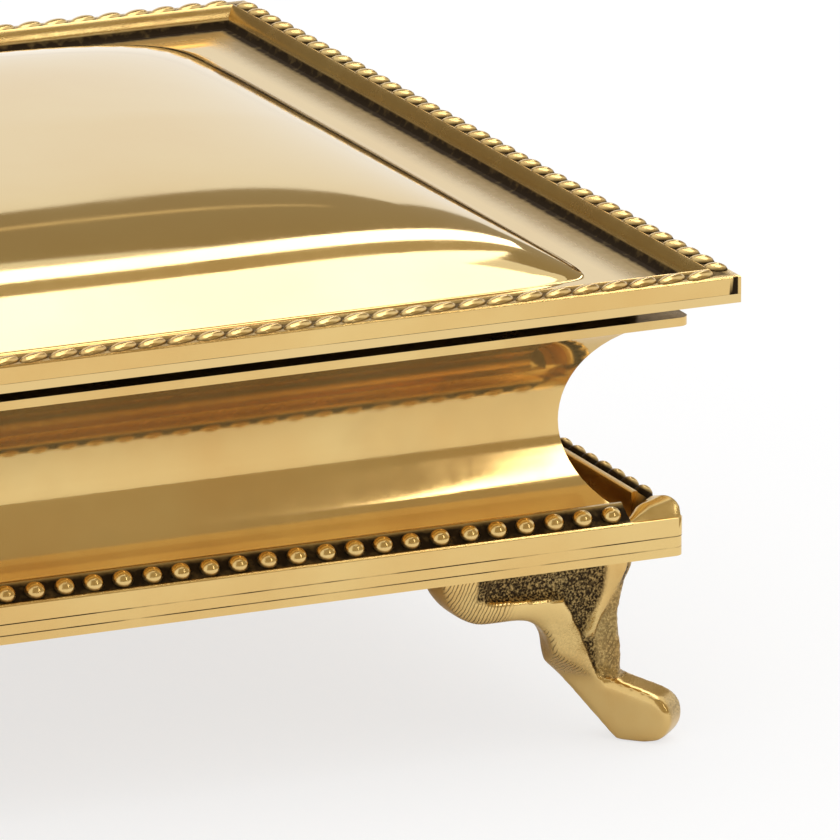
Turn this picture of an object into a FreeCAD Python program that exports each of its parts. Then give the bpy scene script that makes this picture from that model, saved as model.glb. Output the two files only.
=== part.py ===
import FreeCAD, Part
import Sketcher
import math
import os

# A footed brass box: coved sheet walls between a beaded base and a flat top frame,
# a pressed cushion lid with a beaded rim, four cast feet and two hinges at the back.
# Millimetres. X runs along the front, Y to the back, Z up, floor at zero.

# Lid
lid_length = 190.0  # lid sheet, left to right
lid_depth = 123.0  # lid sheet, front to back
lid_sheet = 0.9  # thickness of the pressed lid
lid_overhang = 3.75  # lid beyond the top frame, each side
lid_gap = 2.0  # top frame to the underside of the lid
crease_inset = 10.6  # lid edge to the foot of the cushion
dome_rise = 8.5  # cushion above the flat border
dome_shoulder_share = 0.4  # crease to the end of the steep shoulder, of the half depth
dome_shoulder_rise_share = 0.876  # the shoulder's end, of the rise
dome_crown_share = 0.943  # crease to the level middle, of the half depth
dome_hip_share = 1.68  # how much further the same profile runs along the diagonals

# Beaded rim on the lid
rim_face = 1.8  # upright outer face of the rim strip
rim_edge = 0.25  # bevel from the outer face to the bead seat
rim_seat = 2.0  # flat the rim beads stand on
rim_lip = 0.2  # inner lip, width and rise
rim_slope = 1.3  # run of the sloping inner side
rim_bead_length = 2.9  # rim bead along the strip
rim_bead_rise = 0.8  # rim bead above its seat
bead_pitch = 3.27  # bead to bead on both mouldings
bead_top_shares = (0.72, 0.28)
bead_lean_share = 0.6

# Body
frame_sheet = 0.9  # thickness of the top frame
frame_corner = 1.2  # corner radius of the top frame
wall_sheet = 0.9  # thickness of the coved walls
wall_height = 22.05  # base plate to top frame
waist_drop = 11.3  # top frame down to the waist
waist_inset = 10.0  # frame edge to the waist
cove_lip = 2.05  # frame edge to the top of the cove
wall_foot_inset = 5.5  # frame edge to the foot of the wall
wall_foot_rise = 2.15  # upright foot of the wall
seat_bar_width = 1.5  # bar the closed lid rests on
seat_bar_inset = 4.0  # frame edge to the seat bar
seat_clearance = 0.05  # seat bar to the closed lid

# Base
base_inset = 0.35  # base edge inside the frame edge
base_sheet = 1.15  # upper base plate
sole_sheet = 0.9  # lower base plate
base_corner = 1.0  # corner radius of the base plates
moulding_face = 2.1  # upright outer face of the moulding
moulding_land = 0.55  # flat above the outer face
bead_seat_run = 1.66  # bead seat, outside to inside
bead_seat_rise = 1.12  # bead seat, low edge to high edge
moulding_ridge_run = 0.4  # bead seat to the ridge
moulding_ridge_rise = 0.8  # bead seat up to the ridge
moulding_ridge = 0.6  # width of the ridge
base_bead_length = 2.1  # base bead along the strip
base_bead_rise = 0.95  # base bead above its seat
corner_block = 5.8  # smooth corner piece along each side
corner_round = 0.8  # rounding of the corner piece's upright edge
corner_bulge = 2.0  # radius of its swelling top

# Feet
foot_height = 19.8  # floor to the base
foot_set_in = 4.3  # base edge to the foot's outer faces
foot_corner = 1.2  # rounding of the foot's outer corner
wing_length = 21.2  # wing of a foot along one side
wing_thickness = 4.0  # wing, outside to inside
wing_tip = 1.8  # upright end of the wing
wing_drop = 6.35  # wing at its lobe
wing_lobe = 5.4  # length of the rounded lobe
wing_lobe_radius = 7.5  # rounding of the lobe
wing_flat = 4.0  # straight stretch behind the lobe
wing_bend = 3.6  # hollow between wing and leg
wing_border = 2.5  # raised border along the wing
leg_border = 3.6  # raised border down the leg
panel_side = 1.5  # outer corner to the sunk panel
panel_depth = 0.8  # depth of the sunk panel
panel_tail = 12.8  # base down to the panel's lower end
panel_tail_width = 1.6  # panel at its lower end
# On the leg, reach is measured along the diagonal inwards from the base corner.
hoof_width = 4.2  # hoof across the diagonal
ankle_drop = 13.4  # base down to the ankle
ankle_front = 6.9  # reach to the front of the ankle
ankle_back = 13.0  # reach to the back of the ankle
heel_reach = 6.7  # reach to the heel
sole_reach = 3.5  # reach to the front of the sole
toe_reach = 0.8  # reach to the tip of the toe
toe_drop = 17.3  # base down to the tip of the toe
instep_reach = 2.75  # reach to the front of the instep
instep_drop = 14.5  # base down to the front of the instep
diagonal_share = math.sqrt(0.5)

# Hinges
hinge_length = 30.0  # one hinge along the back
hinge_spread_share = 0.526  # middle to middle of the two hinges, of the lid's length
hinge_leaf = 0.6  # thickness of a leaf
hinge_drop = 1.3  # underside of the lid to the hinge axis
hinge_inset = 0.8  # back edge of the frame to the hinge axis
knuckle_radius = 1.1  # outside of a knuckle
pin_radius = 0.5  # hinge pin
pin_clearance = 0.05  # pin to bore, all round
knuckle_clearance = 0.2  # between knuckles, end to end
leaf_clearance = 0.3  # knuckles to the leaves and the frame
lid_leaf_width = 5.2  # lid leaf, axis to front edge
body_leaf_width = 8.4  # body leaf, axis to front edge

overrun = 2.0  # how far a cut runs past the metal
on_edge_share = 1e-6

Vector = FreeCAD.Vector
UP = Vector(0, 0, 1)

doc = FreeCAD.newDocument("footed_brass_box")
sheet = doc.addObject("Spreadsheet::Sheet", "dims")


class Size:
    """A length kept both as a number and as the sheet expression it comes from."""

    def __init__(self, value, text):
        self.value = value
        self.text = text

    def __add__(self, other):
        return Size(self.value + other.value, f"({self.text} + {other.text})")

    def __sub__(self, other):
        return Size(self.value - other.value, f"({self.text} - {other.text})")

    def __mul__(self, other):
        other = as_size(other)
        return Size(self.value * other.value, f"({self.text} * {other.text})")

    __rmul__ = __mul__

    def __truediv__(self, other):
        other = as_size(other)
        return Size(self.value / other.value, f"({self.text} / {other.text})")

    def __neg__(self):
        return Size(-self.value, f"(0 - {self.text})")


def as_size(number):
    if isinstance(number, Size):
        return number
    return Size(number, repr(number))


def root(square):
    return Size(math.sqrt(square.value), f"sqrt({square.text})")


def whole(number):
    return Size(math.floor(number.value), f"floor({number.text})")


ZERO = as_size(0)
ONE = as_size(1)

# Every length above goes into the sheet and is from here on a Size that leads back to it.
lengths = {name: value for name, value in globals().items()
           if isinstance(value, float) and not name.endswith("share")}
for row, (alias, value) in enumerate(lengths.items(), 1):
    sheet.set(f"A{row}", alias.replace("_", " "))
    sheet.set(f"B{row}", repr(value))
    sheet.setAlias(f"B{row}", alias)
    globals()[alias] = Size(value, f"dims.{alias}")
doc.recompute()

# Sizes and levels that follow from those above
frame_length = lid_length - 2 * lid_overhang
frame_depth = lid_depth - 2 * lid_overhang
base_length = frame_length - 2 * base_inset
base_depth = frame_depth - 2 * base_inset
mouth_inset = waist_inset + wall_sheet
hinge_spread = lid_length * hinge_spread_share
sole_level = foot_height
base_level = sole_level + sole_sheet
floor_level = base_level + base_sheet
frame_level = floor_level + wall_height
frame_top = frame_level + frame_sheet
lid_level = frame_top + lid_gap
lid_top = lid_level + lid_sheet
moulding_width = moulding_land + bead_seat_run + moulding_ridge_run + moulding_ridge
moulding_height = moulding_face + bead_seat_rise + moulding_ridge_rise


def bind(item, prop, size):
    item.setExpression(prop, size.text)


def place(item, x, y, z, turn=0):
    """Puts an object at a point worked out from the sheet, turned about the upright axis."""
    item.Placement = FreeCAD.Placement(
        Vector(x.value, y.value, z.value), FreeCAD.Rotation(UP, turn))
    for axis, size in (("x", x), ("y", y), ("z", z)):
        bind(item, f"Placement.Base.{axis}", size)


def new_body(label):
    body = doc.addObject("PartDesign::Body", label)
    body.Label = label
    return body


def origin_part(body, role):
    return [part for part in body.Origin.OriginFeatures if part.Role == role][0]


def new_sketch(body, role, label, shift=(ZERO, ZERO, ZERO)):
    sketch = body.newObject("Sketcher::SketchObject", label)
    sketch.AttachmentSupport = [(origin_part(body, role), "")]
    sketch.MapMode = "FlatFace"
    sketch.AttachmentOffset = FreeCAD.Placement(
        Vector(*(size.value for size in shift)), FreeCAD.Rotation())
    for axis, size in zip("xyz", shift):
        bind(sketch, f"AttachmentOffset.Base.{axis}", size)
    return sketch


def upright_sketch(body, label, angle):
    """A sketch on an upright plane that holds the body's axis, turned from the front."""
    sketch = new_sketch(body, "XZ_Plane", label)
    sketch.AttachmentOffset = FreeCAD.Placement(
        Vector(), FreeCAD.Rotation(Vector(0, 1, 0), angle))
    return sketch


def pin_point(sketch, geometry, end, axis, size):
    """Holds one coordinate of a sketch point to a size measured from the origin."""
    if size.value == 0:
        sketch.addConstraint(
            Sketcher.Constraint("PointOnObject", geometry, end, -2 if axis == "X" else -1))
        return
    points = (-1, 1, geometry, end) if size.value > 0 else (geometry, end, -1, 1)
    held = size if size.value > 0 else -size
    index = sketch.addConstraint(
        Sketcher.Constraint(f"Distance{axis}", *points, held.value))
    bind(sketch, f"Constraints[{index}]", held)


def draw(sketch, corners):
    """Draws a closed outline through the corners. A third entry on a corner is the radius
    of the arc that arrives there, positive where the outline turns left along it."""
    points = [Vector(corner[0].value, corner[1].value, 0) for corner in corners]
    steps = []
    for index, corner in enumerate(corners):
        start, end = points[index - 1], points[index]
        if len(corner) == 2:
            geometry = sketch.addGeometry(Part.LineSegment(start, end), False)
            steps.append((geometry, 1, 2))
            continue
        radius = corner[2]
        chord = end - start
        reach = math.sqrt(radius.value ** 2 - (chord.Length / 2) ** 2)
        left = UP.cross(chord).normalize() * math.copysign(reach, radius.value)
        middle = (start + end) * 0.5 + left
        turns_left = radius.value > 0
        first, last = (start, end) if turns_left else (end, start)
        circle = Part.Circle(middle, UP, abs(radius.value))
        arc = Part.ArcOfCircle(circle, circle.parameter(first), circle.parameter(last))
        geometry = sketch.addGeometry(arc, False)
        steps.append((geometry, 1, 2) if turns_left else (geometry, 2, 1))
    for index, (geometry, first, last) in enumerate(steps):
        after, after_first, _ = steps[(index + 1) % len(steps)]
        sketch.addConstraint(
            Sketcher.Constraint("Coincident", geometry, last, after, after_first))
    for (geometry, first, last), corner in zip(steps, corners):
        pin_point(sketch, geometry, last, "X", corner[0])
        pin_point(sketch, geometry, last, "Y", corner[1])
        if len(corner) == 3:
            radius = corner[2] if corner[2].value > 0 else -corner[2]
            index = sketch.addConstraint(
                Sketcher.Constraint("Radius", geometry, radius.value))
            bind(sketch, f"Constraints[{index}]", radius)


def rectangle(sketch, x_low, x_high, y_low, y_high):
    draw(sketch, [(x_low, y_low), (x_high, y_low), (x_high, y_high), (x_low, y_high)])


def pad(body, sketch, label, length, symmetric=False, backwards=False):
    feature = body.newObject("PartDesign::Pad", label)
    feature.Profile = sketch
    feature.Length = length.value
    bind(feature, "Length", length)
    feature.SideType = "Symmetric" if symmetric else "One side"
    feature.Reversed = backwards
    doc.recompute()
    return feature


def cut_through(body, sketch, label):
    feature = body.newObject("PartDesign::Pocket", label)
    feature.Profile = sketch
    feature.Type = "ThroughAll"
    feature.SideType = "Symmetric"
    doc.recompute()
    return feature


def upright_edges(shape):
    """Names of the straight upright edges on the outside of a plate, by their place."""
    names = []
    for index, edge in enumerate(shape.Edges, 1):
        run = edge.Vertexes[-1].Point - edge.Vertexes[0].Point
        outside = abs(edge.CenterOfMass.x) >= shape.BoundBox.XMax * (1 - on_edge_share)
        if outside and abs(run.z) > abs(run.x) + abs(run.y):
            names.append(f"Edge{index}")
    return names


def round_edges(body, feature, names, radius, label):
    rounded = body.newObject("PartDesign::Fillet", label)
    rounded.Base = (feature, names)
    rounded.Radius = radius.value
    bind(rounded, "Radius", radius)
    body.Tip = rounded
    doc.recompute()
    return rounded


def mitre_ends(body, length, reach):
    """Cuts both ends of a strip at forty-five degrees, outer edge longest."""
    half = length / 2
    sketch = new_sketch(body, "XY_Plane", "mitre")
    draw(sketch, [(half, ZERO), (half, reach), (half - reach, reach)])
    draw(sketch, [(-half, ZERO), (reach - half, reach), (-half, reach)])
    return cut_through(body, sketch, "mitred_ends")


def bead_bar(seat, run, rise, bead_rise):
    """Top corners, inner first, of the bar on a sloping seat that is cut into beads."""
    width = root(run * run + rise * rise)
    across, up = rise * bead_rise / width, run * bead_rise / width
    return [(seat[0] + run * share - across, seat[1] + rise * share + up)
            for share in bead_top_shares]


def cut_beads(body, seat, run, rise, strip, bead_length, bead_rise):
    """Notches the bar into beads at the pitch and clears its ends down to the seat."""
    width = root(run * run + rise * rise)
    count = whole((strip - bead_length) / bead_pitch) + ONE
    lean = bead_rise * bead_lean_share
    high = bead_rise + overrun

    def across_the_bar(label):
        sketch = new_sketch(body, "XZ_Plane", label, (ZERO, seat[1], -seat[0]))
        tilt = math.degrees(math.atan2(rise.value, run.value))
        sketch.AttachmentOffset = FreeCAD.Placement(
            sketch.AttachmentOffset.Base, FreeCAD.Rotation(Vector(1, 0, 0), tilt))
        sketch.setExpression(
            "AttachmentOffset.Rotation.Angle", f"atan2({rise.text}; {run.text})")
        return sketch

    def cut_along(sketch, label):
        feature = body.newObject("PartDesign::Pocket", label)
        feature.Profile = sketch
        feature.Length = width.value
        bind(feature, "Length", width)
        doc.recompute()
        return feature

    ends = across_the_bar("bar_ends")
    last = (count - ONE) * bead_pitch / 2 + bead_length / 2
    past = strip / 2 + overrun + overrun
    draw(ends, [(last, ZERO), (past, ZERO), (past, high),
                (last - lean, high), (last - lean, bead_rise)])
    draw(ends, [(-last, ZERO), (lean - last, bead_rise), (lean - last, high),
                (-past, high), (-past, ZERO)])
    cut_along(ends, "cleared_ends")

    outline = across_the_bar("notch_outline")
    middle = -(count - ONE - ONE) * bead_pitch / 2
    half = (bead_pitch - bead_length) / 2
    draw(outline, [
        (middle - half, ZERO), (middle + half, ZERO), (middle + half + lean, bead_rise),
        (middle + half + lean, high), (middle - half - lean, high),
        (middle - half - lean, bead_rise)])
    notch = cut_along(outline, "notch")
    row = body.newObject("PartDesign::LinearPattern", "notches")
    row.Originals = [notch]
    row.Direction = (origin_part(body, "X_Axis"), [""])
    row.Occurrences = int(count.value) - 1
    row.Length = ((count - ONE - ONE) * bead_pitch).value
    bind(row, "Occurrences", count - ONE)
    bind(row, "Length", (count - ONE - ONE) * bead_pitch)
    body.Tip = row
    doc.recompute()


def round_the_box(length, depth):
    """The four sides: name, place of the outer edge, turn and the side's own length."""
    return (
        ("front", ZERO, -(depth / 2), 0, length),
        ("back", ZERO, depth / 2, 180, length),
        ("right", length / 2, ZERO, 90, depth),
        ("left", -(length / 2), ZERO, 270, depth),
    )


def round_the_corners(length, depth):
    return (
        ("front_left", -(length / 2), -(depth / 2), 0),
        ("front_right", length / 2, -(depth / 2), 90),
        ("back_right", length / 2, depth / 2, 180),
        ("back_left", -(length / 2), depth / 2, 270),
    )


def base_sheet_part(label, thickness, level):
    body = new_body(label)
    sketch = new_sketch(body, "XY_Plane", "outline")
    half_length, half_depth = base_length / 2, base_depth / 2
    rectangle(sketch, -half_length, half_length, -half_depth, half_depth)
    plate = pad(body, sketch, "sheet", thickness)
    round_edges(body, plate, upright_edges(plate.Shape), base_corner, "corners")
    place(body, ZERO, ZERO, level)


def wall(side, x, y, turn, length):
    """One coved wall: two arcs that meet upright at the waist, over an upright foot."""
    body = new_body(f"{side}_wall")
    waist = wall_height - waist_drop
    upper_sag = waist_inset - cove_lip
    lower_sag = waist_inset - wall_foot_inset
    lower_rise = waist - wall_foot_rise
    upper_radius = (upper_sag * upper_sag + waist_drop * waist_drop) / (2 * upper_sag)
    lower_radius = (lower_sag * lower_sag + lower_rise * lower_rise) / (2 * lower_sag)
    upper_inner = upper_radius + wall_sheet
    lower_inner = lower_radius + wall_sheet
    top_inner = (waist_inset - upper_radius
                 + root(upper_inner * upper_inner - waist_drop * waist_drop))
    foot_inner = (waist_inset - lower_radius
                  + root(lower_inner * lower_inner - lower_rise * lower_rise))
    sketch = new_sketch(body, "YZ_Plane", "section")
    draw(sketch, [
        (wall_foot_inset, ZERO),
        (foot_inner, ZERO),
        (foot_inner, wall_foot_rise),
        (waist_inset + wall_sheet, waist, lower_inner),
        (top_inner, wall_height, upper_inner),
        (cove_lip, wall_height),
        (waist_inset, waist, -upper_radius),
        (wall_foot_inset, wall_foot_rise, -lower_radius)])
    pad(body, sketch, "cove", length, symmetric=True)
    body.Tip = mitre_ends(body, length, mouth_inset + overrun)
    doc.recompute()
    place(body, x, y, floor_level, turn)


def top_frame():
    """The flat frame soldered on the walls, notched at the back for the hinge knuckles."""
    body = new_body("top_frame")
    sketch = new_sketch(body, "XY_Plane", "outline")
    half_length, half_depth = frame_length / 2, frame_depth / 2
    rectangle(sketch, -half_length, half_length, -half_depth, half_depth)
    rectangle(sketch, mouth_inset - half_length, half_length - mouth_inset,
              mouth_inset - half_depth, half_depth - mouth_inset)
    plate = pad(body, sketch, "sheet", frame_sheet)
    rounded = round_edges(body, plate, upright_edges(plate.Shape), frame_corner, "corners")
    notches = new_sketch(body, "XY_Plane", "knuckle_notches")
    notch = hinge_length / 2 + leaf_clearance
    reach = half_depth - hinge_inset - knuckle_radius - leaf_clearance
    for middle in (-(hinge_spread / 2), hinge_spread / 2):
        rectangle(notches, middle - notch, middle + notch, reach, half_depth + overrun)
    body.Tip = cut_through(body, notches, "notched")
    doc.recompute()
    place(body, ZERO, ZERO, frame_level)


def box(label, x_size, y_size, z_size, x, y, z):
    item = doc.addObject("Part::Box", label)
    item.Label = label
    for prop, size in (("Length", x_size), ("Width", y_size), ("Height", z_size)):
        bind(item, prop, size)
    place(item, x, y, z)
    return item


def seat_bars():
    """Bars on the frame that hold the closed lid clear of it; the hinges do so behind."""
    height = lid_gap - seat_clearance
    half_length = frame_length / 2 - seat_bar_inset
    half_depth = frame_depth / 2 - seat_bar_inset
    box("seat_bar_front", 2 * half_length, seat_bar_width, height,
        -half_length, -half_depth, frame_top)
    side_length = 2 * half_depth - seat_bar_width
    for side, x in (("left", -half_length), ("right", half_length - seat_bar_width)):
        box(f"seat_bar_{side}", seat_bar_width, side_length, height,
            x, seat_bar_width - half_depth, frame_top)


def base_moulding(side, x, y, turn, length):
    """A beaded strip: upright face, beads on a sloping seat, and a ridge behind them."""
    body = new_body(f"base_moulding_{side}")
    strip = length - 2 * corner_block
    seat = (moulding_land, moulding_face)
    seat_end = moulding_land + bead_seat_run
    seat_top = moulding_face + bead_seat_rise
    sketch = new_sketch(body, "YZ_Plane", "section")
    draw(sketch, [
        (ZERO, ZERO), (moulding_width, ZERO), (moulding_width, moulding_height),
        (moulding_width - moulding_ridge, moulding_height), (seat_end, seat_top),
        *bead_bar(seat, bead_seat_run, bead_seat_rise, base_bead_rise),
        seat, (ZERO, moulding_face)])
    pad(body, sketch, "strip", strip, symmetric=True)
    cut_beads(body, seat, bead_seat_run, bead_seat_rise, strip,
              base_bead_length, base_bead_rise)
    place(body, x, y, floor_level, turn)


def base_corner_piece(corner, x, y, turn):
    """The smooth angle piece that the beaded strips run into: a swelling top on both
    sides, which meet in a mitre over the rounded corner."""
    body = new_body(f"base_corner_{corner}")
    sketch = new_sketch(body, "XY_Plane", "outline")
    draw(sketch, [
        (ZERO, ZERO), (corner_block, ZERO), (corner_block, moulding_width),
        (moulding_width, moulding_width), (moulding_width, corner_block),
        (ZERO, corner_block)])
    block = pad(body, sketch, "angle", moulding_height)
    upright = [f"Edge{index}" for index, edge in enumerate(block.Shape.Edges, 1)
               if max(edge.BoundBox.XMax, edge.BoundBox.YMax) < corner_round.value]
    round_edges(body, block, upright, corner_round, "rounded")
    top_edge = moulding_width - moulding_ridge
    above = moulding_height + overrun
    for role in ("XZ_Plane", "YZ_Plane"):
        swelling = new_sketch(body, role, "swelling")
        draw(swelling, [
            (-overrun, moulding_face), (moulding_land, moulding_face),
            (top_edge, moulding_height, -corner_bulge), (top_edge, above), (-overrun, above)])
        body.Tip = cut_through(body, swelling, "swelling_top")
    doc.recompute()
    place(body, x, y, floor_level, turn)


def foot(corner, x, y, turn):
    """A cast foot: two winged brackets that meet at the corner over a leg with a hoof."""
    body = new_body(f"foot_{corner}")
    tip = foot_set_in + wing_length
    lobe_end = tip - wing_lobe
    flat_end = lobe_end - wing_flat
    shin = flat_end - wing_bend
    knee = wing_drop + wing_bend
    outline = [
        (foot_set_in, ZERO),
        (foot_set_in, -ankle_drop),
        (shin, -ankle_drop),
        (shin, -knee),
        (flat_end, -wing_drop, -wing_bend),
        (lobe_end, -wing_drop),
        (tip, -wing_tip, wing_lobe_radius),
        (tip, ZERO)]
    sides = (("XZ_Plane", -foot_set_in, True), ("YZ_Plane", foot_set_in, False))
    for role, offset, backwards in sides:
        sketch = new_sketch(body, role, "wing_outline", (ZERO, ZERO, offset))
        draw(sketch, outline)
        wings = pad(body, sketch, "wing", wing_thickness, backwards=backwards)
    ridge = [f"Edge{index}" for index, edge in enumerate(wings.Shape.Edges, 1)
             if max(edge.BoundBox.XMax, edge.BoundBox.YMax) < (foot_set_in + foot_corner).value]
    round_edges(body, wings, ridge, foot_corner, "rounded_ridge")

    panel_low = wing_drop - wing_border
    panel_bend = wing_bend + leg_border
    panel_start = foot_set_in + panel_side
    panel_knee = knee - panel_depth
    lower = flat_end - root(panel_bend * panel_bend - panel_depth * panel_depth)
    upper = flat_end - root(
        panel_bend * panel_bend - (knee - panel_low) * (knee - panel_low))
    panel = [
        (panel_start, ZERO),
        (panel_start, -panel_tail),
        (panel_start + panel_tail_width, -panel_tail),
        (lower, -panel_knee),
        (upper, -panel_low, -panel_bend),
        (lobe_end, -panel_low),
        (lobe_end, ZERO)]
    for role, offset, backwards in sides:
        sketch = new_sketch(body, role, "panel_outline", (ZERO, ZERO, offset))
        draw(sketch, panel)
        sunk = body.newObject("PartDesign::Pocket", "sunk_panel")
        sunk.Profile = sketch
        bind(sunk, "Length", panel_depth)
        sunk.Reversed = not backwards
        doc.recompute()

    half = hoof_width / 2
    shoulder = (shin - foot_set_in) * diagonal_share
    across = upright_sketch(body, "leg_from_the_corner", -45)
    draw(across, [(half, -ankle_drop), (shoulder, -ankle_drop), (shoulder, -knee)])
    draw(across, [(-half, -ankle_drop), (-shoulder, -knee), (-shoulder, -ankle_drop)])
    cut_through(body, across, "tapered_leg")
    near = 2 * foot_set_in * diagonal_share
    far = (shin + foot_set_in + wing_thickness) * diagonal_share
    along = upright_sketch(body, "leg_from_the_side", 45)
    draw(along, [(near, -knee), (near, -ankle_drop), (ankle_front, -ankle_drop)])
    draw(along, [(far, -knee), (ankle_back, -ankle_drop), (far, -ankle_drop)])
    cut_through(body, along, "raked_leg")

    under, lift = sole_reach - toe_reach, foot_height - toe_drop
    back, rise = instep_reach - toe_reach, toe_drop - instep_drop
    toe_radius = (under * under + lift * lift) / (2 * lift)
    instep_radius = ((back * back + rise * rise) * toe_radius
                     / (2 * (back * under + rise * (toe_radius - lift))))
    hoof_outline = upright_sketch(body, "hoof_outline", 45)
    draw(hoof_outline, [
        (ankle_front, -ankle_drop), (ankle_back, -ankle_drop),
        (heel_reach, -foot_height), (sole_reach, -foot_height),
        (toe_reach, -toe_drop, -toe_radius),
        (instep_reach, -instep_drop, -instep_radius)])
    pad(body, hoof_outline, "hoof", hoof_width, symmetric=True)
    place(body, x, y, sole_level, turn)


def cushion(label, level):
    """The cushion's form: a block cut right through by one profile, from crease to crease,
    along its length and depth and, stretched, along both diagonals for its soft hips."""
    body = new_body(label)
    half_length, half_depth = lid_length / 2 - crease_inset, lid_depth / 2 - crease_inset
    sketch = new_sketch(body, "XY_Plane", "crease")
    rectangle(sketch, -half_length, half_length, -half_depth, half_depth)
    pad(body, sketch, "block", dome_rise)
    half_diagonal = (half_length + half_depth) * diagonal_share
    shoulder_rise = dome_rise * dome_shoulder_rise_share
    left = dome_rise - shoulder_rise
    cuts = (("along", 0, half_length, 1), ("across", 90, half_depth, 1),
            ("hip", 45, half_diagonal, dome_hip_share),
            ("other_hip", 135, half_diagonal, dome_hip_share))
    for way, angle, half, stretch in cuts:
        run = half_depth * dome_shoulder_share * stretch
        crown = half_depth * dome_crown_share * stretch
        flat = crown - run
        crown_radius = (flat * flat + left * left) / (2 * left)
        lean = shoulder_rise * (crown_radius - left) - run * flat
        shoulder_radius = ((run * run + shoulder_rise * shoulder_rise)
                           * crown_radius / (2 * lean))
        profile = upright_sketch(body, f"{way}_profile", angle)
        draw(profile, [
            (-half, ZERO),
            (run - half, shoulder_rise, -shoulder_radius),
            (crown - half, dome_rise, -crown_radius),
            (half - crown, dome_rise),
            (half - run, shoulder_rise, -crown_radius),
            (half, ZERO, -shoulder_radius),
            (half, dome_rise + overrun),
            (-half, dome_rise + overrun)])
        body.Tip = cut_through(body, profile, way)
    doc.recompute()
    place(body, ZERO, ZERO, level)
    return body


def lid_panel():
    """Pressed lid: a flat border round a cushion, of one thickness throughout. The same
    form raises the cushion and, one sheet lower, hollows it out."""
    border = box("lid_border", lid_length, lid_depth, lid_sheet,
                 -(lid_length / 2), -(lid_depth / 2), lid_level)
    raised = doc.addObject("Part::Fuse", "raised_lid")
    raised.Base = border
    raised.Tool = cushion("lid_cushion", lid_top)
    panel = doc.addObject("Part::Cut", "lid_panel")
    panel.Label = "lid_panel"
    panel.Base = raised
    panel.Tool = cushion("lid_hollow", lid_level)
    doc.recompute()


def lid_rim(side, x, y, turn, length):
    """A beaded strip on the lid's edge, mitred at the corners."""
    body = new_body(f"lid_rim_{side}")
    seat_height = rim_face + rim_edge
    seat = (rim_edge, seat_height)
    seat_end = rim_edge + rim_seat
    ridge = seat_end + rim_lip
    sketch = new_sketch(body, "YZ_Plane", "section")
    draw(sketch, [
        (ZERO, ZERO), (ridge + rim_lip + rim_slope, ZERO),
        (ridge + rim_lip, seat_height + rim_lip), (ridge, seat_height + rim_lip),
        (seat_end, seat_height), *bead_bar(seat, rim_seat, ZERO, rim_bead_rise),
        seat, (ZERO, rim_face)])
    pad(body, sketch, "strip", length, symmetric=True)
    mitre_ends(body, length, ridge + rim_slope + overrun)
    cut_beads(body, seat, rim_seat, ZERO, length - 2 * ridge,
              rim_bead_length, rim_bead_rise)
    place(body, x, y, lid_top, turn)


def rod(label, radius, length, x, y, z):
    """A cylinder along X that starts at the point given."""
    item = doc.addObject("Part::Cylinder", label)
    item.Label = label
    bind(item, "Radius", radius)
    bind(item, "Height", length)
    item.Placement = FreeCAD.Placement(
        Vector(x.value, y.value, z.value), FreeCAD.Rotation(Vector(0, 1, 0), 90))
    for axis, size in (("x", x), ("y", y), ("z", z)):
        bind(item, f"Placement.Base.{axis}", size)
    return item


def joined(label, items, bore):
    """Fuses the pieces of a hinge leaf and bores it for the pin."""
    whole_leaf = doc.addObject("Part::MultiFuse", f"{label}_solid")
    whole_leaf.Shapes = items
    leaf = doc.addObject("Part::Cut", label)
    leaf.Label = label
    leaf.Base = whole_leaf
    leaf.Tool = bore
    return leaf


def hinge(side, middle):
    """Two leaves and a pin; the axis lies just inside the back edge of the frame."""
    axis_y = frame_depth / 2 - hinge_inset
    axis_z = lid_level - hinge_drop
    start = middle - hinge_length / 2
    third = (hinge_length - 2 * knuckle_clearance) / 3
    clear = knuckle_radius + leaf_clearance
    bore_radius = pin_radius + pin_clearance
    second_start = start + third + knuckle_clearance
    third_start = second_start + third + knuckle_clearance

    pieces = [box(f"{side}_body_plate", hinge_length, body_leaf_width - clear, hinge_leaf,
                  start, axis_y - body_leaf_width, frame_top)]
    for name, knuckle_start in (("first", start), ("third", third_start)):
        pieces.append(box(f"{side}_{name}_tab", third, clear, hinge_leaf,
                          knuckle_start, axis_y - clear, frame_top))
        pieces.append(rod(f"{side}_{name}_knuckle", knuckle_radius, third,
                          knuckle_start, axis_y, axis_z))
    bore = rod(f"{side}_body_bore", bore_radius, hinge_length, start, axis_y, axis_z)
    joined(f"hinge_body_leaf_{side}", pieces, bore)

    leaf_level = lid_level - hinge_leaf
    pieces = [
        box(f"{side}_lid_plate", hinge_length, lid_leaf_width - clear, hinge_leaf,
            start, axis_y - lid_leaf_width, leaf_level),
        box(f"{side}_lid_tab", third, clear, hinge_leaf,
            second_start, axis_y - clear, leaf_level),
        rod(f"{side}_lid_knuckle", knuckle_radius, third, second_start, axis_y, axis_z)]
    bore = rod(f"{side}_lid_bore", bore_radius, hinge_length, start, axis_y, axis_z)
    joined(f"hinge_lid_leaf_{side}", pieces, bore)

    rod(f"hinge_pin_{side}", pin_radius, hinge_length, start, axis_y, axis_z)


base_sheet_part("sole_plate", sole_sheet, sole_level)
base_sheet_part("base_plate", base_sheet, base_level)
for side, x, y, turn, length in round_the_box(base_length, base_depth):
    base_moulding(side, x, y, turn, length)
for corner, x, y, turn in round_the_corners(base_length, base_depth):
    base_corner_piece(corner, x, y, turn)
    foot(corner, x, y, turn)
for side, x, y, turn, length in round_the_box(frame_length, frame_depth):
    wall(side, x, y, turn, length)
top_frame()
seat_bars()
lid_panel()
for side, x, y, turn, length in round_the_box(lid_length, lid_depth):
    lid_rim(side, x, y, turn, length)
hinge("left", -(hinge_spread / 2))
hinge("right", hinge_spread / 2)
doc.recompute()

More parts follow.
